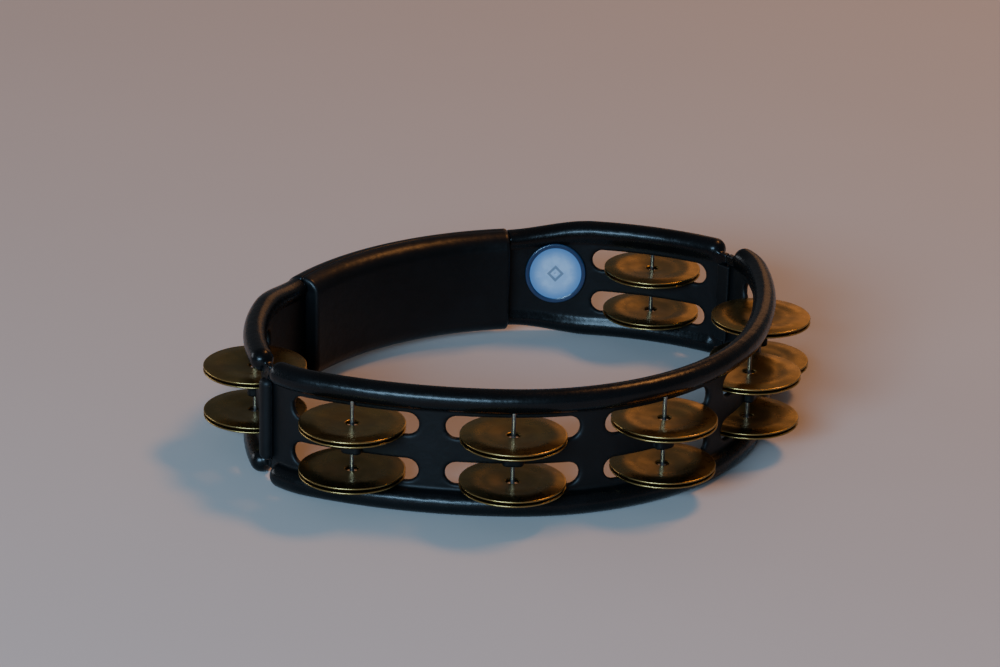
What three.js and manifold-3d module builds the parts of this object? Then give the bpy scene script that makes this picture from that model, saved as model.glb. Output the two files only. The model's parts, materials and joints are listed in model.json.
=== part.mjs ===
// Headless tambourine: a moulded plastic rim with a hand grip at the back and seven stations of
// brass jingles, two pairs on each steel pin. Millimetres, +Z up, lying on its lower beads.
// The front of the rim faces -Y and the grip is at +Y. Every piece of the rim is drawn flat,
// with x along the rim, y towards the ring's inside and z up, and is then bent round the plan.
import * as THREE from 'three';
import { mergeVertices } from 'three/addons/utils/BufferGeometryUtils.js';
import Module from 'manifold-3d';

const wasm = await Module();
wasm.setup();

// Plan of the rim, along the middle of its beads, from the front round to the grip
const capRadius = 112;
const capAngle = 36;
const flankRadius = 204;
const flankAngle = 24;
const cornerRadius = 38;
const cornerAngle = 51;

// Places along the rim, measured from the middle of the front
const stationPitch = 68.2;
const stationToJoint = 43.8;
const jointToSideStation = 40.6;
const sideStationToGrip = 69.2;
const badgeFromGrip = 23;

// Section of the rim
const rimHeight = 56.7;
const beadRadius = 5.1;
const beadFlat = 3;
const wallFromPin = 0.4;
const wallThickness = 3;

// Openings in the wall for the jingles
const slotLength = 57;
const slotHeight = 10;
const rowSpacing = 20.7;

// Bosses that steady the pins between the two rows
const bossWidth = 9;
const bossReach = 3.4;
const bossCorner = 2.6;

// Joints between the front frame and the side frames
const beadGap = 9;
const clipWidth = 7;
const clipReach = 4.2;
const clipHeight = 37;
const clipNeck = 2;
const clipPad = 1.6;

// Grip
const gripHeight = 49;
const gripOutside = 7;
const gripInside = 10.5;
const gripCorner = 8;
const gripWall = 2.8;
const gripEndWall = 5;
const shoulderDrop = 4.8;
const tongueLength = 15;
const tongueHeight = 32;
const pegRadius = 2.6;
const pegFromShoulder = 9.5;

// Pins and jingles
const pinRadius = 0.95;
const pinBoreDepth = 5;
const jingleRadius = 22.5;
const jingleHole = 2.8;
const jingleThickness = 0.8;
const jingleSeat = 5;
const cupRadius = 12;
const cupDepth = 0.5;
const jingleDish = 0.2;

// Badge on the inner face of the right side frame, close under the upper bead
const badgeRadius = 14.7;
const badgeThickness = 1.2;
const badgeBelowBead = 0.05;

// Clearances and fineness
const fitGap = 0.3;
const seamGap = 0.3;
const pinClearance = 0.3;
const stubInset = 0.1;
const overlap = 8;
const cutReach = 1;
const rimStep = 9;
const stubStep = 3;
const jingleSides = 16;
const beadSides = 6;
const roundSides = 10;
const pinSides = 8;

const radians = THREE.MathUtils.degToRad;

// The plan as a list of tangent arcs. The last one closes the ring at the middle of the grip.
const planArcs = [
  [capRadius, radians(capAngle)],
  [flankRadius, radians(flankAngle)],
  [cornerRadius, radians(cornerAngle)],
];

function walk(arcs, distance) {
  let left = distance;
  let heading = 0;
  const place = { x: 0, y: 0, heading: 0 };
  for (const [radius, angle] of arcs) {
    const turned = heading + Math.min(left / radius, angle);
    place.x += radius * (Math.sin(turned) - Math.sin(heading));
    place.y += radius * (Math.cos(heading) - Math.cos(turned));
    left -= radius * (turned - heading);
    heading = turned;
  }
  place.heading = heading;
  return place;
}

const cornerEnd = walk(planArcs, Infinity);
const backAngle = Math.PI - cornerEnd.heading;
planArcs.push([cornerEnd.x / Math.sin(backAngle), backAngle]);
const halfLength = planArcs.reduce((sum, [radius, angle]) => sum + radius * angle, 0);

// The point of the plan at a distance along the rim: positive to the right, negative to the left,
// and past the middle of the grip it runs on into the left half
function rimAt(along) {
  if (along > halfLength) return rimAt(along - 2 * halfLength);
  const place = walk(planArcs, Math.abs(along));
  if (along >= 0) return place;
  return { x: -place.x, y: place.y, heading: -place.heading };
}

// What follows from the sizes
const railCentre = rimHeight / 2 - beadRadius;
const wallInner = wallFromPin + wallThickness;
const rowHeight = rowSpacing / 2;
const outerStation = 2 * stationPitch;
const jointAt = outerStation + stationToJoint;
const sideStation = jointAt + jointToSideStation;
const shoulder = sideStation + sideStationToGrip;
const beadCut = beadGap / 2 + beadRadius;
const pinHalf = railCentre - beadRadius + pinBoreDepth - pinClearance;
const pinBore = pinRadius + pinClearance;
const clipHalf = clipHeight / 2;
const clipHalfWidth = clipWidth / 2;
const tongueHalf = tongueHeight / 2;
const gripHalf = gripHeight / 2;
const seamAt = wallFromPin + wallThickness / 2;
// How far the wall curves inward from the joint to the edge of the clip
const clipRise = clipHalfWidth ** 2 / (2 * (cornerRadius - wallInner));
const jingleHeight = cupDepth + jingleDish + jingleThickness;
const badgeAt = shoulder - badgeFromGrip;
const badgeRaise = railCentre - beadRadius - badgeBelowBead - badgeRadius;

const stations = [
  ['left_side', -sideStation],
  ['left_outer', -outerStation],
  ['left_inner', -stationPitch],
  ['front', 0],
  ['right_inner', stationPitch],
  ['right_outer', outerStation],
  ['right_side', sideStation],
];

function material(color, roughness, metalness) {
  return new THREE.MeshStandardMaterial({ color, roughness, metalness });
}

const blackPlastic = () => material(0x16171b, 0.42, 0);
const agedBrass = () => material(0x7d6431, 0.38, 1);
const pinSteel = () => material(0x9a9ea3, 0.3, 1);
const badgeBlue = () => material(0xc3dcec, 0.35, 0);

// The side frames grow lower from their slots to the grip, so that their rails run into it
function sideTaper(along) {
  const start = sideStation + slotLength / 2 + fitGap;
  const part = THREE.MathUtils.smoothstep(Math.abs(along), start, shoulder);
  return 1 - (part * shoulderDrop) / (rimHeight / 2);
}

function bendRound(geometry, heightAt = () => 1) {
  const place = geometry.attributes.position;
  for (let i = 0; i < place.count; i++) {
    const along = place.getX(i);
    const inward = place.getY(i);
    const rim = rimAt(along);
    const x = rim.x - inward * Math.sin(rim.heading);
    const y = rim.y + inward * Math.cos(rim.heading);
    place.setXYZ(i, x, y, place.getZ(i) * heightAt(along));
  }
  return geometry;
}

function toSolid(geometry) {
  geometry.deleteAttribute('normal');
  geometry.deleteAttribute('uv');
  const merged = mergeVertices(geometry, 1e-4);
  const vertProperties = new Float32Array(merged.attributes.position.array);
  const triVerts = new Uint32Array(merged.index.array);
  return new wasm.Manifold(new wasm.Mesh({ numProp: 3, vertProperties, triVerts }));
}

function toGeometry(solid) {
  const mesh = solid.getMesh();
  const geometry = new THREE.BufferGeometry();
  geometry.setAttribute('position', new THREE.BufferAttribute(mesh.vertProperties, 3));
  geometry.setIndex(new THREE.BufferAttribute(mesh.triVerts, 1));
  geometry.computeVertexNormals();
  return geometry;
}

// A section of the rim, x inward and y up, run along the rim between two places and bent round
function runSection(shape, from, to, heightAt, step = rimStep) {
  const start = Math.min(from, to);
  const depth = Math.abs(to - from);
  const steps = Math.ceil(depth / step);
  const geometry = new THREE.ExtrudeGeometry(shape, { depth, steps, bevelEnabled: false });
  const turn = new THREE.Matrix4().set(0, 0, 1, start, 1, 0, 0, 0, 0, 1, 0, 0, 0, 0, 0, 1);
  geometry.applyMatrix4(turn);
  return toSolid(bendRound(geometry, heightAt));
}

function rectangle(x0, x1, y0, y1) {
  const corners = [[x0, y0], [x1, y0], [x1, y1], [x0, y1]];
  return new THREE.Shape(corners.map(([x, y]) => new THREE.Vector2(x, y)));
}

function arcPoints(x, y, radius, fromDegrees, toDegrees, sides) {
  const points = [];
  for (let i = 0; i <= sides; i++) {
    const angle = radians(fromDegrees + ((toDegrees - fromDegrees) * i) / sides);
    points.push(new THREE.Vector2(x + radius * Math.cos(angle), y + radius * Math.sin(angle)));
  }
  return points;
}

function roundedRectangle(x0, x1, y0, y1, radius, sides) {
  return new THREE.Shape([
    ...arcPoints(x1 - radius, y0 + radius, radius, -90, 0, sides),
    ...arcPoints(x1 - radius, y1 - radius, radius, 0, 90, sides),
    ...arcPoints(x0 + radius, y1 - radius, radius, 90, 180, sides),
    ...arcPoints(x0 + radius, y0 + radius, radius, 180, 270, sides),
  ]);
}

// Section of the rim: a wall between two round beads, each with a narrow flat on top or below
function channelSection() {
  const top = rimHeight / 2;
  const inner = -THREE.MathUtils.radToDeg(Math.acos(wallInner / beadRadius));
  const outer = 360 - THREE.MathUtils.radToDeg(Math.acos(wallFromPin / beadRadius));
  const flatEdge = THREE.MathUtils.radToDeg(Math.asin(beadFlat / beadRadius));
  const upper = [
    ...arcPoints(0, railCentre, beadRadius, inner, 90 - flatEdge, beadSides - 2),
    new THREE.Vector2(beadFlat / 2, top),
    new THREE.Vector2(-beadFlat / 2, top),
    ...arcPoints(0, railCentre, beadRadius, 90 + flatEdge, outer, beadSides),
  ];
  const lower = upper.map((point) => new THREE.Vector2(point.x, -point.y)).reverse();
  return new THREE.Shape([...upper, ...lower]);
}

// A round bar across the wall, standing inward at one place of the rim
function crossBar(along, height, radius, from, to) {
  const geometry = new THREE.CylinderGeometry(radius, radius, to - from, roundSides);
  geometry.translate(0, (from + to) / 2, 0);
  const rim = rimAt(along);
  geometry.rotateZ(rim.heading);
  return toSolid(geometry.translate(rim.x, rim.y, height));
}

// One opening for a jingle pair: a straight run with round ends, cut through the wall
function slotCutter(along, height) {
  const end = slotHeight / 2;
  const straight = slotLength / 2 - end;
  const outside = wallFromPin - cutReach;
  const inside = wallInner + cutReach;
  const section = rectangle(outside, inside, height - end, height + end);
  return runSection(section, along - straight, along + straight)
    .add(crossBar(along - straight, height, end, outside, inside))
    .add(crossBar(along + straight, height, end, outside, inside));
}

// A plan shape, x along the rim and y inward, set upright at one place of the rim
function uprightAt(shape, along, low, high) {
  const geometry = new THREE.ExtrudeGeometry(shape, { depth: high - low, bevelEnabled: false });
  const rim = rimAt(along);
  geometry.rotateZ(rim.heading);
  geometry.translate(rim.x, rim.y, low);
  return geometry;
}

function bossSolid(along) {
  const half = rowSpacing / 2 - slotHeight / 2;
  const back = wallFromPin + wallThickness / 2;
  const shape = roundedRectangle(-bossWidth / 2, bossWidth / 2, -bossReach, back, bossCorner, 2);
  return toSolid(uprightAt(shape, along, -half, half));
}

function pinBoreCutter(along) {
  const half = railCentre - beadRadius + pinBoreDepth;
  const round = new THREE.Shape(arcPoints(0, 0, pinBore, 0, 360 - 360 / pinSides, pinSides - 1));
  return toSolid(uprightAt(round, along, -half, half));
}

function beadBall(along, height) {
  const geometry = new THREE.SphereGeometry(beadRadius, roundSides, roundSides / 2);
  const rim = rimAt(along);
  geometry.translate(rim.x, rim.y, height);
  return toSolid(geometry);
}

// The wall alone, a little thinner than in the channel, where it runs on past the rails
function wallStub(from, to, half) {
  const section = rectangle(wallFromPin + stubInset, wallInner - stubInset, -half, half);
  return runSection(section, from, to, undefined, stubStep);
}

function clipNotch(along) {
  const half = clipNeck / 2 + fitGap;
  const shape = rectangle(-half, half, wallFromPin - cutReach, wallInner + cutReach);
  return toSolid(uprightAt(shape, along, -clipHalf - fitGap, clipHalf + fitGap));
}

function gather(first, added, cut) {
  let solid = first;
  for (const piece of added) solid = solid.add(piece);
  for (const piece of cut) solid = solid.subtract(piece);
  return toGeometry(solid);
}

function frontFrame() {
  const railEnd = jointAt - beadCut;
  const wallEnd = jointAt - seamGap / 2;
  const added = [];
  const cut = [];
  for (const side of [-1, 1]) {
    added.push(wallStub(side * (railEnd - overlap), side * wallEnd, railCentre));
    added.push(beadBall(side * railEnd, railCentre), beadBall(side * railEnd, -railCentre));
    cut.push(clipNotch(side * jointAt));
  }
  for (const [, along] of stations.filter(([, place]) => Math.abs(place) < jointAt)) {
    added.push(bossSolid(along));
    cut.push(slotCutter(along, rowHeight), slotCutter(along, -rowHeight), pinBoreCutter(along));
  }
  return gather(runSection(channelSection(), -railEnd, railEnd), added, cut);
}

function sideFrame(side) {
  const railStart = jointAt + beadCut;
  const wallStart = jointAt + seamGap / 2;
  const station = side * sideStation;
  const added = [
    wallStub(side * (railStart + overlap), side * wallStart, railCentre),
    wallStub(side * (shoulder - overlap), side * (shoulder + tongueLength), tongueHalf),
    beadBall(side * railStart, railCentre),
    beadBall(side * railStart, -railCentre),
    bossSolid(station),
  ];
  const cut = [
    clipNotch(side * jointAt),
    slotCutter(station, rowHeight),
    slotCutter(station, -rowHeight),
    pinBoreCutter(station),
    pegSolid(side, pegRadius + fitGap, wallFromPin - cutReach, wallInner + cutReach),
  ];
  const channel = runSection(channelSection(), side * railStart, side * shoulder, sideTaper);
  return gather(channel, added, cut);
}

// A round peg through the tongue of a side frame, just inside the grip
function pegSolid(side, radius, from, to) {
  return crossBar(side * (shoulder + pegFromShoulder), 0, radius, from, to);
}

// The clip is an H in plan: a rounded post outside, a thin pad inside, and the neck between them
function clipGeometry() {
  const half = clipHalfWidth;
  const neck = clipNeck / 2;
  const front = wallFromPin - fitGap;
  const back = wallInner + fitGap + clipRise;
  const corner = Math.min(half, clipReach) * 0.75;
  const shape = new THREE.Shape([
    ...arcPoints(-half + corner, -clipReach + corner, corner, 180, 270, 3),
    ...arcPoints(half - corner, -clipReach + corner, corner, 270, 360, 3),
    new THREE.Vector2(half, front),
    new THREE.Vector2(neck, front),
    new THREE.Vector2(neck, back),
    new THREE.Vector2(half, back),
    new THREE.Vector2(half, back + clipPad),
    new THREE.Vector2(-half, back + clipPad),
    new THREE.Vector2(-half, back),
    new THREE.Vector2(-neck, back),
    new THREE.Vector2(-neck, front),
    new THREE.Vector2(-half, front),
  ]);
  const geometry = new THREE.ExtrudeGeometry(shape, { depth: clipHeight, bevelEnabled: false });
  return geometry.translate(0, 0, -clipHalf);
}

// Rounded bar of the grip, hollow behind its end walls, before it is parted into two shells
function gripBar() {
  const start = shoulder + fitGap;
  const outline = roundedRectangle(-gripOutside, gripInside, -gripHalf, gripHalf, gripCorner, 3);
  const hollow = roundedRectangle(
    gripWall - gripOutside,
    gripInside - gripWall,
    gripWall - gripHalf,
    gripHalf - gripWall,
    gripCorner - gripWall,
    2,
  );
  const pocketHalf = tongueHalf + fitGap;
  const pocket = rectangle(
    wallFromPin + stubInset - fitGap,
    wallInner - stubInset + fitGap,
    -pocketHalf,
    pocketHalf,
  );
  let bar = runAround(outline, start);
  bar = bar.subtract(runAround(hollow, start + gripEndWall));
  for (const side of [-1, 1]) {
    const inside = side * (start + gripEndWall + cutReach);
    bar = bar.subtract(runSection(pocket, side * (start - cutReach), inside));
  }
  return bar;
}

// A section run round the back, through the middle of the grip, between equal places each side
function runAround(shape, from) {
  return runSection(shape, from, 2 * halfLength - from);
}

function gripShell(part) {
  const far = gripOutside + gripInside;
  const wide = gripHeight;
  const cutFrom = part === 'outer' ? seamAt - seamGap / 2 : -far;
  const cutTo = part === 'outer' ? far : seamAt + seamGap / 2;
  const slab = runAround(rectangle(cutFrom, cutTo, -wide, wide), shoulder - cutReach);
  return gripBar().subtract(slab);
}

function gripOuterShell() {
  let shell = gripShell('outer');
  for (const side of [-1, 1]) {
    const tip = gripInside - gripWall - fitGap;
    shell = shell.add(pegSolid(side, pegRadius, -gripOutside + gripWall / 2, tip));
  }
  return toGeometry(shell);
}

// Jingle with its cup pressed downwards: z is 0 at the seat in the middle of the cup's underside
function jingleGeometry(cupUp) {
  const under = [
    [jingleHole, 0],
    [jingleSeat, 0],
    [cupRadius, cupDepth],
    [jingleRadius, cupDepth + jingleDish],
  ];
  const over = [
    [jingleRadius, cupDepth + jingleDish + jingleThickness],
    [cupRadius, cupDepth + jingleThickness],
    [jingleHole, jingleThickness],
    [jingleHole, 0],
  ];
  const profile = [...under, ...over].map(([x, y]) => new THREE.Vector2(x, y));
  const geometry = new THREE.LatheGeometry(profile, jingleSides);
  geometry.rotateX(cupUp ? -Math.PI / 2 : Math.PI / 2);
  return geometry;
}

function pinGeometry() {
  const geometry = new THREE.CylinderGeometry(pinRadius, pinRadius, 2 * pinHalf, pinSides);
  return geometry.rotateX(Math.PI / 2);
}

// Round badge, thin, bent to the inner face of the wall
function badgeGeometry() {
  const middle = badgeRadius / 2;
  const profile = [
    [0, 0],
    [middle, 0],
    [badgeRadius, 0],
    [badgeRadius, badgeThickness],
    [middle, badgeThickness],
    [0, badgeThickness],
  ].map(([x, y]) => new THREE.Vector2(x, y));
  const geometry = new THREE.LatheGeometry(profile, 2 * roundSides);
  geometry.translate(badgeAt, wallInner + fitGap, badgeRaise);
  return bendRound(geometry);
}

const tambourine = new THREE.Group();

function addPiece(name, geometry, finish, along, height = 0) {
  const mesh = new THREE.Mesh(geometry, finish);
  mesh.name = name;
  if (along !== undefined) {
    const rim = rimAt(along);
    mesh.position.set(rim.x, rim.y, height);
    mesh.rotation.z = rim.heading;
  }
  tambourine.add(mesh);
  return mesh;
}

addPiece('front_frame', frontFrame(), blackPlastic());
addPiece('left_side_frame', sideFrame(-1), blackPlastic());
addPiece('right_side_frame', sideFrame(1), blackPlastic());
addPiece('left_joint_clip', clipGeometry(), blackPlastic(), -jointAt);
addPiece('right_joint_clip', clipGeometry(), blackPlastic(), jointAt);
addPiece('grip_outer_shell', gripOuterShell(), blackPlastic());
addPiece('grip_inner_shell', toGeometry(gripShell('inner')), blackPlastic());
addPiece('badge', badgeGeometry(), badgeBlue());

for (const [station, along] of stations) {
  addPiece(`pin_${station}`, pinGeometry(), pinSteel(), along);
  for (const [row, height] of [['top', rowHeight], ['bottom', -rowHeight]]) {
    const floor = height - slotHeight / 2 + fitGap;
    const domeTop = floor + jingleHeight;
    addPiece(`jingle_${station}_${row}_lower`, jingleGeometry(true), agedBrass(), along, domeTop);
    addPiece(`jingle_${station}_${row}_upper`, jingleGeometry(false), agedBrass(), along, domeTop + fitGap);
  }
}

// The origin lies under the middle of the whole, on the face that it rests on
const bounds = new THREE.Box3().setFromObject(tambourine, true);
const middle = bounds.getCenter(new THREE.Vector3());
tambourine.position.set(-middle.x, -middle.y, -bounds.min.z);

export default tambourine;
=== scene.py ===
"""Looks of a headless tambourine: a black moulded rim with a hand grip at the back, and seven
stations of aged brass jingles, two pairs on each steel pin.

The rim pieces are worked out flat, in millimetres: u along the rim from the middle of its front,
v inward from the line of the pins, and w up from the middle of the rim. A distance field gives each
its rounded edges and fillets, and the mesh of that field is then bent round the plan of the rim.
"""

import json
import math

import bpy
import numpy as np
from mathutils import Matrix, Vector


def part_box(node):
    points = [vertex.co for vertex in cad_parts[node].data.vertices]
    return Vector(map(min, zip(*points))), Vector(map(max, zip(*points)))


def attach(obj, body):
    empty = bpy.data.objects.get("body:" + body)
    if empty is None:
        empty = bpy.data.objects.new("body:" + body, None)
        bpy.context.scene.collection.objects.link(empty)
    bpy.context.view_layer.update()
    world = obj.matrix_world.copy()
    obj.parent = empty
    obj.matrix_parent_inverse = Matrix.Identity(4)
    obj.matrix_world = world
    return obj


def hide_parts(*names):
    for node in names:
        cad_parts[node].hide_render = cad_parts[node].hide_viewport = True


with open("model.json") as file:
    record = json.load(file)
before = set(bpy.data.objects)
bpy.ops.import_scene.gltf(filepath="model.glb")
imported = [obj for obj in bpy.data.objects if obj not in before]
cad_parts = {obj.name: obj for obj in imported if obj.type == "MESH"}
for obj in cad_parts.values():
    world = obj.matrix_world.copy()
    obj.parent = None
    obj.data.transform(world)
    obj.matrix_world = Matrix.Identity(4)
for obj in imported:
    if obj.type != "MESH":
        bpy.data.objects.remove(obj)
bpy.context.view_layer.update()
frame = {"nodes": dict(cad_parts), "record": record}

MM = 0.001

# Tangent arcs of the plan from the front of the rim past its corner: radius and angle
FRONT_ARCS = [(112, math.radians(36)), (204, math.radians(24)), (38, math.radians(51))]

# Places along the rim. The stations of the front frame are numbered from its middle.
FRONT_STATIONS = range(-2, 3)
STATION_PITCH = 68.2
STATION_TO_JOINT = 43.8
JOINT_TO_SIDE_STATION = 40.6
SIDE_STATION_TO_GRIP = 69.2
BADGE_FROM_GRIP = 23
JOINT = FRONT_STATIONS[-1] * STATION_PITCH + STATION_TO_JOINT
SIDE_STATION = JOINT + JOINT_TO_SIDE_STATION
SHOULDER = SIDE_STATION + SIDE_STATION_TO_GRIP

# Clearances
FIT_GAP = 0.3
SEAM = 0.15
STUB_INSET = 0.1

# Section of the rim, from the line of the pins and from its middle height
TOP = 28.35
BEAD = 5.1
RAIL = TOP - BEAD
WALL_OUTER = 0.4
WALL_INNER = 3.4
WALL_MIDDLE = (WALL_OUTER + WALL_INNER) / 2

# Openings, bosses and pins
SLOT_LENGTH = 57
SLOT_HEIGHT = 10
ROW_HEIGHT = 10.35
BOSS_WIDTH = 9
BOSS_REACH = 3.4
BOSS_CORNER = 2.6
PIN_RADIUS = 0.95
PIN_BORE = PIN_RADIUS + FIT_GAP

# Joints between the frame pieces
BEAD_GAP = 9
BEAD_CUT = BEAD_GAP / 2 + BEAD
CLIP_HALF_WIDTH = 3.5
CLIP_REACH = 4.2
CLIP_HALF_HEIGHT = 18.5
CLIP_NECK = 1
CLIP_PAD = 1.6
WALL_BOW = 0.177
CLIP_FRONT = WALL_OUTER - FIT_GAP
CLIP_BACK = WALL_INNER + FIT_GAP + WALL_BOW

# Grip, and the tongues that reach into it
GRIP_HALF_HEIGHT = 24.5
GRIP_OUTSIDE = 7
GRIP_INSIDE = 10.5
GRIP_CORNER = 8
GRIP_WALL = 2.8
GRIP_END_WALL = 5
SHOULDER_DROP = 4.8
TONGUE_LENGTH = 15
TONGUE_ROOT = 2
TONGUE_HALF = 16
TONGUE_OUTER = WALL_OUTER + STUB_INSET
TONGUE_INNER = WALL_INNER - STUB_INSET

# Roundings and small steps of the moulded pieces
BEAD_FILLET = 1.4
SLOT_EDGE = 1.25
BOSS_FILLET = 0.8
BOSS_EDGE = 0.8
BOSS_DROP = 0.2
SMALL_EDGE = 0.5
TONGUE_EDGE = 0.4
BORE_EDGE = 0.2
GRIP_END_EDGE = 1.6
SEAM_EDGE = 0.35
CLIP_TOP_EDGE = 2.6
CLIP_CREST = 0.3
CLIP_NECK_DROP = 0.6
OVERLAP = 1

# Jingles: a flat seat, a shallow cup, a dish, and an arched flange with its rim turned down
JINGLE_RADIUS = 22.5
JINGLE_HOLE = 2.8
JINGLE_THICKNESS = 0.8
SEAT_RADIUS = 3.6
CUP_RADIUS = 12
CUP_EDGE = 12.6
CUP_DEPTH = 0.5
DISH = 0.2
DISH_START = 10
ARCH = 0.24
ARCH_POWER = 1.5
RIM_DROP = 0.36
RIM_DROP_SPAN = (0.4, 1.1)

# Dents and age of the jingles, and the painted shade of their bottom row
DENT_WAVES = (2, 3, 5)
DENT_SIZE = (0.02, 0.07)
AGE_SPREAD = 0.4
BOTTOM_ROW_SHADE = 0.6

# Ends of the pins
PIN_CHAMFER = 0.3
PIN_CHAMFER_LENGTH = 0.4
PIN_CENTRE = 0.02

# Badge: a thin disc with a raised border round a domed face
BADGE_RADIUS = 14.7
BADGE_THICKNESS = 1.2
BADGE_RAISE = 3.4
BADGE_BORDER = 2.0
BADGE_SINK = 0.26
BADGE_DOME = 0.16
BADGE_CENTRE = 0.05

# Steps that give each disc and each pin its own place in the noise of its material
DISC_SHIFT = 7.3
PIN_SHIFT = 91.0

# Fineness of the meshes
RIM_STEP = 1.05
PIN_STEP = 0.35
PIN_STEP_REACH = 2.4
SECTION_STEP = 0.55
GRIP_STEP = (1.0, 0.6, 0.6)
CLIP_STEP = (0.3, 0.3, 0.4)
DISC_SIDES = 96
SEAT_RINGS = 5
CUP_RINGS = 17
FLANGE_RINGS = 14
EDGE_RINGS = 7
PIN_SIDES = 24
PIN_RINGS = 24
BADGE_RINGS = 14

# How mesh points settle on the surface of a field, and how far out its bend is measured
SETTLING_ROUNDS = 4
SETTLING_REACH = 0.02
SETTLING_STEP = 0.2
LEAST_SLOPE = 0.2
BEND_REACH = 0.8


# Plan of the rim

def walk(arcs, distance):
    """x, y and heading of points at these distances along a run of tangent arcs."""
    left = distance.astype(float)
    x, y, heading = (np.zeros_like(left) for _ in range(3))
    for radius, angle in arcs:
        after = heading + np.clip(left / radius, 0, angle)
        x += radius * (np.sin(after) - np.sin(heading))
        y += radius * (np.cos(heading) - np.cos(after))
        left -= radius * (after - heading)
        heading = after
    return x, y, heading


def grip_arc():
    """The last arc, from the corner to where the ring closes at the middle of the grip."""
    x, _, heading = walk(FRONT_ARCS, np.array([math.inf]))
    angle = math.pi - heading[0]
    return x[0] / math.sin(angle), angle


def front_pin():
    """Middle of the front pin in millimetres, from where the rim is laid out."""
    low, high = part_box("pin_front")
    return np.array((low + high) / 2 / MM)


PLAN = [*FRONT_ARCS, grip_arc()]
HALF_LENGTH = sum(radius * angle for radius, angle in PLAN)
ORIGIN = front_pin()


def rim_at(along):
    """Plan points of the rim: positive to the right, past the middle of the grip to the left."""
    along = np.where(along > HALF_LENGTH, along - 2 * HALF_LENGTH, along)
    x, y, heading = walk(PLAN, np.abs(along))
    side = np.sign(along)
    return side * x, y, side * heading


def bend(points, height_at=None):
    """Flat points (u, v, w) in millimetres to places in the frame, in metres."""
    u, v, w = points.T
    x, y, heading = rim_at(u)
    if height_at is not None:
        w = w * height_at(u)
    place = np.stack([x - v * np.sin(heading), y + v * np.cos(heading), w], axis=1)
    return (place + ORIGIN) * MM


def turned(points, angle):
    """Points turned about the upright axis."""
    c, s = math.cos(angle), math.sin(angle)
    flat = points[:, :2] @ np.array([[c, s], [-s, c]])
    return np.column_stack([flat, points[:, 2]])


def smooth(x, x0, x1):
    """From 0 at x0 to 1 at x1, level at both."""
    t = np.clip((x - x0) / (x1 - x0), 0, 1)
    return t * t * (3 - 2 * t)


def side_taper(along):
    """How the side frames grow lower from their slots to the grip."""
    start = SIDE_STATION + SLOT_LENGTH / 2 + FIT_GAP
    return 1 - smooth(np.abs(along), start, SHOULDER) * SHOULDER_DROP / TOP


# Distance fields

def join(a, b, radius):
    """Union of two fields with a fillet between them."""
    rest = np.sqrt(np.maximum(radius - a, 0) ** 2 + np.maximum(radius - b, 0) ** 2)
    return np.maximum(radius, np.minimum(a, b)) - rest


def common(a, b, radius):
    """What two fields have in common, with a rounded edge where they meet."""
    rest = np.sqrt(np.maximum(radius + a, 0) ** 2 + np.maximum(radius + b, 0) ** 2)
    return np.minimum(-radius, np.maximum(a, b)) + rest


def take_away(a, b, radius):
    """The first field without the second, with a rounded edge round the cut."""
    return common(a, -b, radius)


def rectangle(x, y, x0, x1, y0, y1, corner=0.0):
    """Field of a rectangle with rounded corners."""
    dx = np.abs(x - (x0 + x1) / 2) - (x1 - x0) / 2 + corner
    dy = np.abs(y - (y0 + y1) / 2) - (y1 - y0) / 2 + corner
    outside = np.sqrt(np.maximum(dx, 0) ** 2 + np.maximum(dy, 0) ** 2)
    return outside + np.minimum(np.maximum(dx, dy), 0) - corner


def rails_and_wall(v, w, past_rail, past_wall):
    """The rim's section: a round bead with a ball end, and the thin wall under it."""
    height = np.abs(w)
    bead = np.sqrt(v**2 + (height - RAIL) ** 2 + np.maximum(past_rail, 0) ** 2) - BEAD
    wall = rectangle(v, height, WALL_OUTER, WALL_INNER, -TOP, RAIL, SMALL_EDGE)
    return join(bead, common(wall, past_wall, SMALL_EDGE), BEAD_FILLET)


def station_cuts(solid, u, v, w):
    """A station's boss, its two slots and the bore of its pin. u is measured from the pin."""
    height = np.abs(w)
    straight = (SLOT_LENGTH - SLOT_HEIGHT) / 2
    from_row = height - ROW_HEIGHT
    slot = np.hypot(np.maximum(np.abs(u) - straight, 0), from_row) - SLOT_HEIGHT / 2
    solid = take_away(solid, slot, SLOT_EDGE)
    half = BOSS_WIDTH / 2
    boss = rectangle(u, v, -half, half, -BOSS_REACH, WALL_MIDDLE, BOSS_CORNER)
    boss = common(boss, height - (ROW_HEIGHT - SLOT_HEIGHT / 2 - BOSS_DROP), BOSS_EDGE)
    solid = join(solid, boss, BOSS_FILLET)
    bore = np.maximum(np.hypot(u, v) - PIN_BORE, height - RAIL)
    return take_away(solid, bore, BORE_EDGE)


def clip_notch(solid, u, w):
    """The solid without the room for the neck of a joint clip."""
    from_joint = np.abs(np.abs(u) - JOINT) - (CLIP_NECK + FIT_GAP)
    notch = np.maximum(from_joint, np.abs(w) - CLIP_HALF_HEIGHT - FIT_GAP)
    return np.maximum(solid, -notch)


def front_field(u, v, w):
    """The front frame with its five stations, from joint to joint."""
    along = np.abs(u)
    solid = rails_and_wall(v, w, along - (JOINT - BEAD_CUT), along - (JOINT - SEAM))
    first, last = FRONT_STATIONS[0], FRONT_STATIONS[-1]
    nearest = np.clip(np.round(u / STATION_PITCH), first, last) * STATION_PITCH
    return clip_notch(station_cuts(solid, u - nearest, v, w), u, w)


def side_field(u, v, w):
    """The right side frame with its station, and the tongue that reaches into the grip."""
    solid = rails_and_wall(v, w, JOINT + BEAD_CUT - u, JOINT + SEAM - u)
    solid = common(solid, u - SHOULDER, SMALL_EDGE)
    half = TONGUE_HALF
    tongue = rectangle(v, w, TONGUE_OUTER, TONGUE_INNER, -half, half, TONGUE_EDGE)
    ends = np.maximum(u - SHOULDER - TONGUE_LENGTH, SHOULDER - TONGUE_ROOT - u)
    solid = np.minimum(solid, common(tongue, ends, SMALL_EDGE))
    return clip_notch(station_cuts(solid, u - SIDE_STATION, v, w), u, w)


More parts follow.
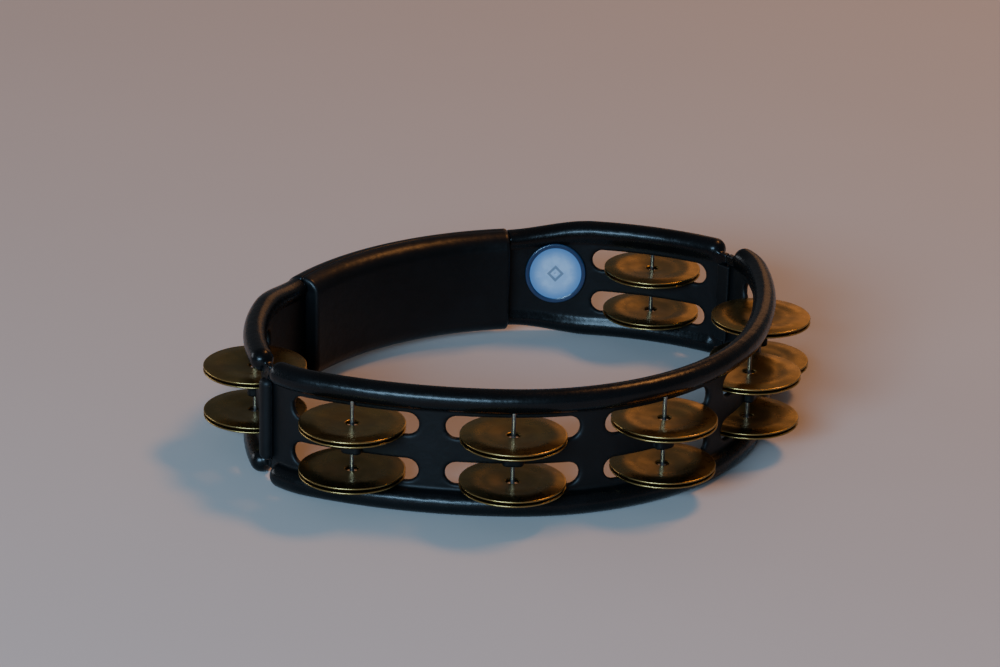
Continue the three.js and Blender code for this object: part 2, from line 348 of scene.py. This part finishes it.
def grip_field(u, v, w):
    """The whole grip, hollow, with room for the tongues in its end walls. u is from its middle."""
    half = HALF_LENGTH - SHOULDER - FIT_GAP
    past_end = np.abs(u) - half
    high = GRIP_HALF_HEIGHT
    outer = rectangle(v, w, -GRIP_OUTSIDE, GRIP_INSIDE, -high, high, GRIP_CORNER)
    outer = common(outer, past_end, GRIP_END_EDGE)
    wall = GRIP_WALL
    v0, v1 = wall - GRIP_OUTSIDE, GRIP_INSIDE - wall
    hollow = rectangle(v, w, v0, v1, wall - high, high - wall, GRIP_CORNER - wall)
    hollow = np.maximum(hollow, past_end + GRIP_END_WALL)
    v0, v1 = TONGUE_OUTER - FIT_GAP, TONGUE_INNER + FIT_GAP
    pocket = rectangle(v, w, v0, v1, -TONGUE_HALF - FIT_GAP, TONGUE_HALF + FIT_GAP)
    pocket = np.maximum(pocket, half - GRIP_END_WALL - OVERLAP - np.abs(u))
    return np.maximum(outer, -np.minimum(hollow, pocket))


def outer_shell_field(u, v, w):
    """The grip's shell outside its seam."""
    return common(grip_field(u, v, w), v - (WALL_MIDDLE - SEAM), SEAM_EDGE)


def inner_shell_field(u, v, w):
    """The grip's shell inside its seam."""
    return common(grip_field(u, v, w), WALL_MIDDLE + SEAM - v, SEAM_EDGE)


def clip_field(x, y, z):
    """The joint clip, an H in plan: a rounded post outside, a thin pad inside, a neck between."""
    half = CLIP_HALF_WIDTH
    over = np.abs(z) - CLIP_HALF_HEIGHT
    post = rectangle(x, y, -half, half, -CLIP_REACH, CLIP_FRONT + half, half - CLIP_CREST)
    post = common(post, y - CLIP_FRONT, SMALL_EDGE)
    post = common(post, over, CLIP_TOP_EDGE)
    pad = rectangle(x, y, -half, half, CLIP_BACK, CLIP_BACK + CLIP_PAD, SMALL_EDGE)
    pad = common(pad, over, SMALL_EDGE)
    neck = rectangle(x, y, -CLIP_NECK, CLIP_NECK, 0, CLIP_BACK + OVERLAP)
    neck = np.maximum(neck, over + CLIP_NECK_DROP)
    return np.minimum(np.minimum(post, pad), neck)


# Meshes

def grid_line(low, high, step, pins=()):
    """Grid places from low to high, closer together near the pins."""
    places = [low - step]
    while places[-1] < high + step:
        fine = any(abs(places[-1] - pin) < PIN_STEP_REACH for pin in pins)
        places.append(places[-1] + (PIN_STEP if fine else step))
    return np.array(places)


def gradient(field, points, reach):
    """Slope of a field along the three axes."""
    sides = np.eye(3) * reach
    rises = [field(*(points + s).T) - field(*(points - s).T) for s in sides]
    return np.stack(rises, axis=1) / (2 * reach)


def bulge(field, points, reach):
    """How sharply the surface bends outward, per millimetre: high on edges, low in hollows."""
    sides = np.eye(3) * reach
    around = sum(field(*(points + s).T) + field(*(points - s).T) for s in sides)
    return (around - 2 * len(sides) * field(*points.T)) / reach**2


def settled(field, points):
    """Points moved along the slope of a field until they lie on its surface."""
    for _ in range(SETTLING_ROUNDS):
        slope = gradient(field, points, SETTLING_REACH)
        size = np.maximum((slope**2).sum(1), LEAST_SLOPE)
        step = np.clip(field(*points.T) / size, -SETTLING_STEP, SETTLING_STEP)
        points = points - step[:, None] * slope
    return points


def surface_of(field, axes):
    """Vertices and quads of the surface where a field is zero, and how sharply it bends out."""
    counts = [len(axis) for axis in axes]
    value = field(*np.meshgrid(*axes, indexing="ij"))
    inside = value < 0

    def shifted(array, offset):
        return array[tuple(slice(o, o + n - 1) for o, n in zip(offset, counts))]

    # One point in each cell that the surface passes, in the middle of its crossings
    corners = [(i, j, k) for i in (0, 1) for j in (0, 1) for k in (0, 1)]
    held = sum(shifted(inside, c).astype(np.int8) for c in corners)
    mixed = (held > 0) & (held < len(corners))
    number = np.full(mixed.shape, -1)
    number[mixed] = np.arange(np.count_nonzero(mixed))
    cells = np.argwhere(mixed)

    total, crossings = np.zeros((len(cells), 3)), np.zeros(len(cells))
    units = np.eye(3, dtype=int)
    for unit in units:
        for corner in (c for c in corners if not np.dot(c, unit)):
            start = cells + corner
            a, b = value[tuple(start.T)], value[tuple((start + unit).T)]
            crosses = (a < 0) != (b < 0)
            part = np.where(crosses, a / np.where(crosses, a - b, 1), 0)
            total[crosses] += (start + part[:, None] * unit)[crosses]
            crossings += crosses
    total /= crossings[:, None]
    places = [np.interp(total[:, i], np.arange(counts[i]), axes[i]) for i in range(3)]

    # One quad round each grid edge that the surface crosses
    quads = []
    for axis in range(3):
        u, v = units[(axis + 1) % 3], units[(axis + 2) % 3]
        first = np.take(inside, np.arange(counts[axis] - 1), axis)
        second = np.take(inside, np.arange(1, counts[axis]), axis)
        edges = np.argwhere(first != second)
        around = [edges - u - v, edges - v, edges, edges - u]
        quad = np.stack([number[tuple(c.T)] for c in around], axis=1)
        leaves = first[tuple(edges.T)]
        quad[~leaves] = quad[~leaves][:, ::-1]
        quads.append(quad)

    points = settled(field, np.stack(places, axis=1))
    return points, np.concatenate(quads), bulge(field, points, BEND_REACH)


def mesh_object(name, points, faces, **attributes):
    """A smooth mesh object from points in metres, with named values on its points."""
    mesh = bpy.data.meshes.new(name)
    faces = np.asarray(faces)
    corners = faces.shape[1]
    mesh.vertices.add(len(points))
    mesh.vertices.foreach_set("co", np.asarray(points, np.float32).ravel())
    mesh.loops.add(faces.size)
    mesh.loops.foreach_set("vertex_index", faces.astype(np.int32).ravel())
    mesh.polygons.add(len(faces))
    mesh.polygons.foreach_set("loop_start", np.arange(0, faces.size, corners, dtype=np.int32))
    mesh.update(calc_edges=True)
    mesh.shade_smooth()
    for label, values in attributes.items():
        values = np.asarray(values, np.float32)
        kind, field = ("FLOAT", "value") if values.ndim == 1 else ("FLOAT_VECTOR", "vector")
        made = mesh.attributes.new(label, kind, "POINT")
        made.data.foreach_set(field, values.ravel())
    mesh.validate()
    piece = bpy.data.objects.new(name, mesh)
    bpy.context.scene.collection.objects.link(piece)
    return piece


def rim_piece(name, field, axes, from_u=0.0, side=1, height_at=None):
    """A piece of the rim: its flat surface, bent round the plan. side -1 mirrors it."""
    points, quads, edge = surface_of(field, axes)
    points[:, 0] = (points[:, 0] + from_u) * side
    if side < 0:
        quads = quads[:, ::-1]
    return mesh_object(name, bend(points, height_at), quads, edge=edge, flat=points)


def lathe(profile, sides):
    """Points and quads of a closed profile of (radius, height) turned about its axis."""
    profile = np.asarray(profile, float)
    angle = np.linspace(0, math.tau, sides, endpoint=False)
    ring = np.stack([np.cos(angle), np.sin(angle)], axis=1)
    points = np.empty((len(profile), sides, 3))
    points[:, :, :2] = profile[:, None, :1] * ring[None]
    points[:, :, 2] = profile[:, 1:]
    number = np.arange(len(profile) * sides).reshape(len(profile), sides)
    down, over = np.roll(number, -1, axis=0), np.roll(number, -1, axis=1)
    both = np.roll(down, -1, axis=1)
    return points.reshape(-1, 3), np.stack([number, over, both, down], axis=2).reshape(-1, 4)


def box_of(node):
    """Low and high corner of a CAD node's box, in millimetres."""
    return (np.array(corner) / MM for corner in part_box(node))


# Jingles and pins

def jingle_middle(radius):
    """Height of the middle of a jingle's sheet above its seat."""
    cup = CUP_DEPTH * smooth(radius, SEAT_RADIUS, CUP_EDGE)
    dish = 2 * DISH * smooth(radius, DISH_START, 2 * JINGLE_RADIUS - CUP_RADIUS)
    flange = np.clip((radius - CUP_RADIUS) / (JINGLE_RADIUS - CUP_RADIUS), 0, 1)
    drop = RIM_DROP * smooth(flange, *RIM_DROP_SPAN)
    arch = ARCH * np.sin(math.pi * flange) ** ARCH_POWER - drop
    return JINGLE_THICKNESS / 2 + cup + dish + arch


def jingle_section():
    """Closed section of a pressed disc, cup down: (radius, height) with the seat at height 0."""
    half = JINGLE_THICKNESS / 2
    radii = np.concatenate([
        np.linspace(JINGLE_HOLE + half, SEAT_RADIUS, SEAT_RINGS)[:-1],
        np.linspace(SEAT_RADIUS, CUP_EDGE, CUP_RINGS)[:-1],
        np.linspace(CUP_EDGE, JINGLE_RADIUS - half, FLANGE_RINGS),
    ])
    heights = jingle_middle(radii)
    slope = np.gradient(heights, radii)
    normal = np.stack([-slope, np.ones_like(slope)], axis=1)
    normal /= np.linalg.norm(normal, axis=1)[:, None]
    line = np.stack([radii, heights], axis=1)
    over, under = line + half * normal, line - half * normal
    turn = np.radians(np.linspace(90, -90, EDGE_RINGS))[1:-1]
    rim = line[-1] + half * np.stack([np.cos(turn), np.sin(turn)], axis=1)
    hole = line[0] - half * np.stack([np.cos(turn), -np.sin(turn)], axis=1)
    return np.concatenate([over, rim, under[::-1], hole])


def jingle(name, cup_up, seed):
    """A jingle in the place of its CAD node, with the small dents of use."""
    low, high = box_of(name)
    points, quads = lathe(jingle_section(), DISC_SIDES)
    draw = np.random.default_rng(seed)
    radius = np.hypot(points[:, 0], points[:, 1])
    angle = np.arctan2(points[:, 1], points[:, 0])
    reach = smooth(radius, CUP_RADIUS, JINGLE_RADIUS)
    for waves in DENT_WAVES:
        size, phase = draw.uniform(*DENT_SIZE) / waves, draw.uniform(0, math.tau)
        points[:, 2] += size * reach * np.cos(waves * angle + phase)
    disc = np.column_stack([points[:, :2], np.full(len(points), seed * DISC_SHIFT)])
    points = turned(points, draw.uniform(0, math.tau))
    # Each disc's own age, with painted shade added on the discs of the bottom row
    age = draw.uniform(0, AGE_SPREAD) + (BOTTOM_ROW_SHADE if "_bottom_" in name else 0.0)
    points[:, 2] -= (CUP_DEPTH + DISH + JINGLE_THICKNESS) / 2
    if cup_up:
        points[:, 2] *= -1
        quads = quads[:, ::-1]
    points += (low + high) / 2
    ages = np.full(len(points), age)
    return mesh_object(f"{name}_disc", points * MM, quads, disc=disc, radius=radius, age=ages)


def pin(name, seed):
    """A steel pin with chamfered ends."""
    low, high = box_of(name)
    half = (high[2] - low[2]) / 2
    chamfered = half - PIN_CHAMFER_LENGTH
    side = [(PIN_RADIUS, height) for height in np.linspace(-chamfered, chamfered, PIN_RINGS)]
    tip = PIN_RADIUS - PIN_CHAMFER
    profile = [(PIN_CENTRE, -half), (tip, -half), *side, (tip, half), (PIN_CENTRE, half)]
    points, quads = lathe(profile[::-1], PIN_SIDES)
    flat = points + (0, 0, seed * PIN_SHIFT)
    points += (low + high) / 2
    return mesh_object(f"{name}_rod", points * MM, quads, flat=flat)


# Badge

def badge_section():
    """Closed section of the badge: (radius, height), from its back to its domed face."""
    rim, inner = BADGE_RADIUS, BADGE_RADIUS - BADGE_BORDER
    top, sunk = BADGE_THICKNESS, BADGE_THICKNESS - BADGE_SINK
    foot, foot_inset = 0.3, 0.08
    edge, edge_inset = 0.35, 0.1
    groove_depth, groove_width, face_start = 0.22, 0.25, 0.6
    first_ring = 1
    back = [(radius, 0.0) for radius in np.linspace(first_ring, rim - foot, BADGE_RINGS)]
    side = [(rim - foot_inset, foot_inset), (rim, foot), (rim, top - edge)]
    border = [(rim - edge_inset, top - edge_inset), (rim - edge, top)]
    border += [(inner + edge, top), (inner + edge_inset, top - edge_inset)]
    groove = [(inner, top - groove_depth), (inner - groove_width, sunk)]
    radii = np.linspace(inner - face_start, BADGE_CENTRE, BADGE_RINGS)
    face = [(radius, sunk + BADGE_DOME * (1 - (radius / inner) ** 2)) for radius in radii]
    return [(BADGE_CENTRE, 0.0), *back, *side, *border, *groove, *face]


def badge():
    """The badge, bent to the inner face of the right side frame."""
    points, quads = lathe(badge_section(), DISC_SIDES)
    flat = points[:, [0, 2, 1]]
    middle = (SHOULDER - BADGE_FROM_GRIP, WALL_INNER + FIT_GAP, BADGE_RAISE)
    return mesh_object("badge_disc", bend(flat + middle), quads, flat=flat)


# Materials

class Recipe:
    """A material's node tree, with short calls for the nodes that it uses."""

    def __init__(self, name):
        self.material = bpy.data.materials.new(name)
        self.material.use_nodes = True
        self.tree = self.material.node_tree
        self.shader = self.tree.nodes["Principled BSDF"]

    def node(self, kind, settings=None, **inputs):
        """A new node, with its inputs by their names, _ for a space, or numbered as i0, i1."""
        made = self.tree.nodes.new("ShaderNode" + kind)
        for key, value in (settings or {}).items():
            setattr(made, key, value)
        for key, value in inputs.items():
            self.plug(made, key.replace("_", " "), value)
        return made

    def plug(self, made, socket, value):
        target = made.inputs[int(socket[1:])] if socket[1:].isdigit() else made.inputs[socket]
        if isinstance(value, bpy.types.NodeSocket):
            self.tree.links.new(value, target)
        else:
            target.default_value = value

    def set(self, **inputs):
        for key, value in inputs.items():
            self.plug(self.shader, key.replace("_", " "), value)

    def value(self, name):
        return self.node("Attribute", {"attribute_name": name}).outputs["Fac"]

    def vector(self, name):
        return self.node("Attribute", {"attribute_name": name}).outputs["Vector"]

    def math(self, operation, a, b=0.0, clamp=False):
        settings = {"operation": operation, "use_clamp": clamp}
        return self.node("Math", settings, i0=a, i1=b).outputs[0]

    def scaled(self, vector, by):
        made = self.node("VectorMath", {"operation": "MULTIPLY"}, i0=vector, i1=by)
        return made.outputs[0]

    def noise(self, vector, scale, detail=3.0, roughness=0.55):
        made = self.node("TexNoise", Vector=vector, Scale=scale, Detail=detail, Roughness=roughness)
        return made.outputs["Fac"]

    def span(self, value, low, high, to_low=0.0, to_high=1.0):
        """value from low..high to to_low..to_high, smooth and held at both ends."""
        limits = {"From_Min": low, "From_Max": high, "To_Min": to_low, "To_Max": to_high}
        made = self.node("MapRange", {"interpolation_type": "SMOOTHSTEP"}, Value=value, **limits)
        return made.outputs["Result"]

    def blend(self, part, a, b):
        """Colour a where part is 0 and b where it is 1."""
        made = self.node("Mix", {"data_type": "RGBA"}, i0=part, i6=a, i7=b)
        return made.outputs[2]

    def layer(self, under, part, strength, tint):
        """A colour with a tint over it, as strong as part times strength."""
        return self.blend(self.math("MULTIPLY", part, strength), under, tint)

    def bump(self, height, distance, strength=1.0, normal=None):
        made = self.node("Bump", Height=height, Distance=distance, Strength=strength)
        if normal is not None:
            self.plug(made, "Normal", normal)
        return made.outputs["Normal"]


def colour(red, green, blue):
    return (red, green, blue, 1.0)


def black_plastic(name, rail_rough, wall_rough):
    """Moulded black plastic: fine grain, faint scuffs, and rails rubbed smoother than the wall."""
    black, grey_black = colour(0.0020, 0.0024, 0.0026), colour(0.0032, 0.0037, 0.0042)
    scuffed, worn = colour(0.016, 0.017, 0.020), colour(0.018, 0.018, 0.020)
    r = Recipe(name)
    flat = r.vector("flat")
    edge = r.value("edge")
    height = r.math("ABSOLUTE", r.node("SeparateXYZ", Vector=flat).outputs[2])
    cloud = r.noise(flat, 0.045, 4.0)
    mottle = r.noise(flat, 0.9, 4.0, 0.6)
    grain = r.noise(flat, 4.5, 2.0, 0.5)
    along = r.scaled(flat, (0.05, 1.2, 1.6))
    scuff = r.span(r.noise(along, 2.6, 5.0, 0.65), 0.62, 0.72)
    rubbed = r.math("MULTIPLY", r.span(edge, 0.25, 0.9), r.span(mottle, 0.4, 0.6), True)
    base = r.blend(r.span(cloud, 0.35, 0.65), black, grey_black)
    base = r.layer(base, scuff, 0.3, scuffed)
    base = r.layer(base, rubbed, 0.4, worn)
    rail = r.span(height, RAIL - BEAD - 1.0, RAIL - BEAD + 1.0)
    rough = r.span(rail, 0.0, 1.0, wall_rough, rail_rough)
    rough = r.math("ADD", rough, r.span(mottle, 0.3, 0.7, -0.025, 0.035))
    rough = r.math("ADD", rough, r.math("MULTIPLY", scuff, 0.10))
    rough = r.math("SUBTRACT", rough, r.math("MULTIPLY", rubbed, 0.06))
    r.set(Base_Color=base, Roughness=rough, Specular_IOR_Level=0.24)
    normal = r.bump(grain, 0.000008, 0.4)
    normal = r.bump(scuff, 0.00003, 0.4, normal)
    normal = r.bump(r.noise(flat, 0.16, 2.0), 0.0006, 0.4, normal)
    r.set(Normal=normal)
    return r.material


def aged_brass():
    """Pressed sheet brass, browned by age, its rim polished by use and brightened by a painted
    highlight, with painted shade in the cup and over the bottom row.
    """
    yellow, browned = colour(0.38, 0.248, 0.082), colour(0.30, 0.200, 0.074)
    tarnished, painted_cup_shade = colour(0.120, 0.105, 0.045), colour(0.070, 0.066, 0.036)
    aged, spotted = colour(0.085, 0.080, 0.038), colour(0.08, 0.055, 0.025)
    rim_polish_and_highlight, reflected = colour(0.55, 0.38, 0.14), colour(1.0, 0.92, 0.80)
    r = Recipe("jingle_brass")
    disc = r.vector("disc")
    radius = r.value("radius")
    age = r.value("age")
    patch = r.noise(disc, 0.07, 2.0, 0.5)
    cloud = r.noise(disc, 0.20, 4.0, 0.5)
    speck = r.noise(disc, 1.1, 3.0, 0.55)
    split = r.node("SeparateXYZ", Vector=disc)
    inverse = r.math("DIVIDE", 3.0, r.math("MAXIMUM", radius, 1.0))
    ring = r.node(
        "CombineXYZ",
        X=r.math("MULTIPLY", split.outputs[0], inverse),
        Y=r.math("MULTIPLY", split.outputs[1], inverse),
        Z=r.math("ADD", r.math("MULTIPLY", radius, 9.0), split.outputs[2]),
    )
    brushed = r.noise(ring.outputs[0], 1.0, 3.0, 0.6)
    tarnish = r.span(cloud, 0.42, 0.75)
    cup = r.math("SUBTRACT", 1.0, r.span(radius, CUP_RADIUS - 4, CUP_RADIUS + 1.0))
    rim = r.span(radius, JINGLE_RADIUS - 0.9, JINGLE_RADIUS - 0.3)
    base = r.blend(r.span(patch, 0.38, 0.62), yellow, browned)
    base = r.layer(base, tarnish, 0.35, tarnished)
    # Painted shade darkening the cup
    base = r.layer(base, cup, 0.22, painted_cup_shade)
    # Darker with each disc's age, and with the painted shade of the bottom row
    base = r.layer(base, age, 0.45, aged)
    base = r.layer(base, r.span(speck, 0.68, 0.78), 0.3, spotted)
    # Rim both polished by use and lit by a painted highlight
    base = r.layer(base, rim, 0.4, rim_polish_and_highlight)
    rough = r.span(cloud, 0.3, 0.75, 0.26, 0.33)
    rough = r.math("ADD", rough, r.span(brushed, 0.3, 0.7, -0.015, 0.015))
    rough = r.math("ADD", rough, r.math("MULTIPLY", cup, 0.03))
    r.set(Base_Color=base, Roughness=rough, Metallic=1.0, Specular_Tint=reflected)
    normal = r.bump(brushed, 0.000005, 0.4)
    normal = r.bump(r.noise(disc, 0.04, 1.0), 0.0022, 0.5, normal)
    r.set(Normal=normal)
    return r.material


def pin_steel():
    """Drawn steel wire with fine lengthwise lines and a little grime."""
    steel, grimy = colour(0.34, 0.335, 0.33), colour(0.12, 0.10, 0.08)
    r = Recipe("pin_steel")
    flat = r.vector("flat")
    drawn = r.noise(r.scaled(flat, (6.0, 6.0, 0.25)), 1.0, 3.0)
    grime = r.span(r.noise(flat, 0.5, 4.0), 0.5, 0.68)
    base = r.layer(steel, grime, 0.6, grimy)
    rough = r.math("ADD", r.span(drawn, 0.3, 0.7, 0.24, 0.4), r.math("MULTIPLY", grime, 0.18))
    r.set(Base_Color=base, Roughness=rough, Metallic=1.0, Normal=r.bump(drawn, 0.00002, 0.6))
    return r.material


def badge_face():
    """Printed badge under clear lacquer: pale field, blue border, and a plain lozenge."""
    pale, faded = colour(0.44, 0.57, 0.76), colour(0.34, 0.48, 0.68)
    middle_blue, deep_blue = colour(0.12, 0.27, 0.50), colour(0.004, 0.030, 0.080)
    ink, bare = colour(0.10, 0.13, 0.17), colour(0.6, 0.66, 0.7)
    r = Recipe("badge_face")
    flat = r.vector("flat")
    split = r.node("SeparateXYZ", Vector=flat)
    across, up = split.outputs[0], split.outputs[2]
    squares = r.math("ADD", r.math("MULTIPLY", across, across), r.math("MULTIPLY", up, up))
    radius = r.math("SQRT", squares)
    lozenge = r.math("ADD", r.math("ABSOLUTE", across), r.math("ABSOLUTE", up))
    fade = r.noise(flat, 0.25, 4.0)
    halo = r.span(radius, BADGE_RADIUS - 8.5, BADGE_RADIUS - 2.2)
    border = r.span(radius, BADGE_RADIUS - 2.3, BADGE_RADIUS - 1.9)
    mark = r.math("SUBTRACT", r.span(lozenge, 4.3, 4.0), r.span(lozenge, 2.6, 2.3))
    wear = r.span(r.noise(flat, 1.6, 5.0, 0.65), 0.66, 0.74)
    base = r.blend(r.span(fade, 0.35, 0.65), pale, faded)
    base = r.blend(halo, base, middle_blue)
    base = r.blend(border, base, deep_blue)
    base = r.layer(base, mark, 0.7, ink)
    base = r.layer(base, wear, 0.35, bare)
    r.set(Base_Color=base, Roughness=r.span(fade, 0.3, 0.7, 0.3, 0.42))
    r.set(Coat_Weight=0.6, Coat_Roughness=0.12)
    r.set(Normal=r.bump(r.noise(flat, 0.8, 3.0), 0.00005, 0.5))
    return r.material


# The pieces

finishes = {
    "frame_plastic": black_plastic("frame_plastic", 0.27, 0.50),
    "grip_plastic": black_plastic("grip_plastic", 0.36, 0.48),
    "jingle_brass": aged_brass(),
    "pin_steel": pin_steel(),
    "badge_face": badge_face(),
}
body_of_node = {
    node: body
    for body, nodes in frame["record"]["behaviour"]["bodies"].items()
    for node in nodes
}


def dress(piece, node, slot):
    """The piece stands for that CAD node, rides its body and takes the finish of its slot."""
    body = body_of_node[node]
    piece.data.materials.append(finishes[slot])
    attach(piece, body)
    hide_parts(node)


def nodes_with(start):
    """CAD nodes whose names start so, in the order of their names."""
    return sorted(node for node in frame["nodes"] if node.startswith(start))


def frame_axes(start, end, pins):
    """Grid of a frame piece: along the rim, across its section, and up."""
    along = grid_line(start, end, RIM_STEP, pins)
    return along, grid_line(-BEAD, BEAD, SECTION_STEP), grid_line(-TOP, TOP, SECTION_STEP)


def front_frame():
    """The long front piece of the rim, with five stations."""
    pins = [STATION_PITCH * number for number in FRONT_STATIONS]
    piece = rim_piece("front_frame_moulding", front_field, frame_axes(-JOINT, JOINT, pins))
    dress(piece, "front_frame", "frame_plastic")


def side_frame(word, side):
    """A side piece of the rim, from its joint to the tip of its tongue."""
    axes = frame_axes(JOINT, SHOULDER + TONGUE_LENGTH, [SIDE_STATION])
    name = f"{word}_side_moulding"
    piece = rim_piece(name, side_field, axes, side=side, height_at=side_taper)
    dress(piece, f"{word}_side_frame", "frame_plastic")


def joint_clip(word, side):
    """A clip round the ends of the wall at a joint, turned as the rim is there."""
    axes = (
        grid_line(-CLIP_HALF_WIDTH, CLIP_HALF_WIDTH, CLIP_STEP[0]),
        grid_line(-CLIP_REACH, CLIP_BACK + CLIP_PAD, CLIP_STEP[1]),
        grid_line(-CLIP_HALF_HEIGHT, CLIP_HALF_HEIGHT, CLIP_STEP[2]),
    )
    points, quads, edge = surface_of(clip_field, axes)
    x, y, heading = (value[0] for value in rim_at(np.array([side * JOINT])))
    placed = (turned(points, heading) + (x, y, 0) + ORIGIN) * MM
    piece = mesh_object(f"{word}_clip_moulding", placed, quads, edge=edge, flat=points)
    dress(piece, f"{word}_joint_clip", "frame_plastic")


def grip_shell(word, field):
    """One of the two shells of the grip."""
    half = HALF_LENGTH - SHOULDER
    axes = (
        grid_line(-half, half, GRIP_STEP[0]),
        grid_line(-GRIP_OUTSIDE, GRIP_INSIDE, GRIP_STEP[1]),
        grid_line(-GRIP_HALF_HEIGHT, GRIP_HALF_HEIGHT, GRIP_STEP[2]),
    )
    piece = rim_piece(f"grip_{word}_moulding", field, axes, from_u=HALF_LENGTH)
    dress(piece, f"grip_{word}_shell", "grip_plastic")


front_frame()
for word, side in (("left", -1), ("right", 1)):
    side_frame(word, side)
    joint_clip(word, side)
grip_shell("outer", outer_shell_field)
grip_shell("inner", inner_shell_field)
dress(badge(), "badge", "badge_face")
for seed, node in enumerate(nodes_with("jingle_"), 1):
    dress(jingle(node, node.endswith("_lower"), seed), node, "jingle_brass")
for seed, node in enumerate(nodes_with("pin_")):
    dress(pin(node, seed), node, "pin_steel")


# Floor, lights and camera

# The camera as measured from the photograph, its distances in millimetres. It looks down at the
# rim from the front left.
PHOTO_WIDTH = 1000
FOCAL_PIXELS = 3405.66
ELEVATION = math.radians(21.32)
ROLL = math.radians(-1.37)
TURN = math.radians(37.17)
DISTANCE = 1518.2
SIDEWAYS = 0.67
UPWARD = -8.24
LOOKED_AT = Vector((0, 20.43, TOP))
SENSOR = 36.0

# Middle of the rim, reach of the camera and half the width of the floor, in metres
MIDDLE = Vector((0, 0, TOP * MM))
NEAREST, FARTHEST = 0.05, 50
FLOOR_HALF = 6.0

# Lines of the floor's grid, each way
FLOOR_LINES = 24


def plain_floor():
    """A wide pale floor under the rim."""
    r = Recipe("floor")
    place = r.node("TexCoord").outputs["Object"]
    tone = r.noise(place, 3.0, 4.0)
    r.set(
        Base_Color=r.blend(tone, colour(0.56, 0.52, 0.50), colour(0.60, 0.56, 0.54)),
        Roughness=0.75,
        Normal=r.bump(r.noise(place, 900.0, 3.0), 0.0002, 0.15),
    )
    line = np.linspace(-FLOOR_HALF, FLOOR_HALF, FLOOR_LINES)
    x, y = np.meshgrid(line, line, indexing="ij")
    points = np.stack([x.ravel(), y.ravel(), np.zeros(x.size)], axis=1)
    number = np.arange(x.size).reshape(x.shape)
    quads = [number[:-1, :-1], number[1:, :-1], number[1:, 1:], number[:-1, 1:]]
    floor = mesh_object("floor", points, np.stack(quads, axis=2).reshape(-1, 4))
    floor.data.materials.append(r.material)


def weak_sky():
    """A weak cool light from all sides."""
    world = bpy.data.worlds.new("studio")
    world.use_nodes = True
    background = world.node_tree.nodes["Background"]
    background.inputs["Color"].default_value = colour(0.84, 0.90, 1.0)
    background.inputs["Strength"].default_value = 0.115
    bpy.context.scene.world = world


def photo_camera():
    """The camera of the photograph."""
    tilt = Matrix.Rotation(ROLL, 3, "Z") @ Matrix.Rotation(ELEVATION - math.pi / 2, 3, "X")
    to_camera = tilt @ Matrix.Rotation(TURN, 3, "Z")
    to_frame = to_camera.transposed()
    away = to_frame @ Vector((SIDEWAYS, UPWARD, -DISTANCE))
    lens = bpy.data.cameras.new("camera")
    lens.sensor_width = SENSOR
    lens.lens = FOCAL_PIXELS * SENSOR / PHOTO_WIDTH
    lens.clip_start, lens.clip_end = NEAREST, FARTHEST
    camera = bpy.data.objects.new("camera", lens)
    camera.matrix_world = Matrix.Translation((LOOKED_AT - away) * MM) @ to_frame.to_4x4()
    bpy.context.scene.collection.objects.link(camera)
    bpy.context.scene.camera = camera


def area_light(name, azimuth, elevation, distance, size, power, tint):
    """A light that faces the middle of the rim, its azimuth counted rightward from the camera."""
    a, e = math.radians(azimuth) - TURN, math.radians(elevation)
    away = Vector((math.sin(a) * math.cos(e), -math.cos(a) * math.cos(e), math.sin(e)))
    place = MIDDLE + distance * away
    light = bpy.data.lights.new(name, "AREA")
    light.shape = "RECTANGLE"
    light.size, light.size_y = size
    light.energy = power
    light.color = tint
    lamp = bpy.data.objects.new(name, light)
    lamp.location = place
    lamp.rotation_euler = (MIDDLE - place).to_track_quat("-Z", "Y").to_euler()
    bpy.context.scene.collection.objects.link(lamp)


plain_floor()
weak_sky()
photo_camera()
area_light("window", -20, 22, 2.2, (1.2, 0.45), 54, (0.43, 0.71, 1.0))
area_light("warm", 124, 58, 3.0, (0.85, 0.5), 34, (1.0, 0.42, 0.12))
area_light("card", 162, 20, 2.2, (0.9, 0.7), 1.8, (1.0, 0.45, 0.16))
area_light("back", 250, 12, 2.2, (1.2, 0.5), 7, (0.86, 0.92, 1.0))
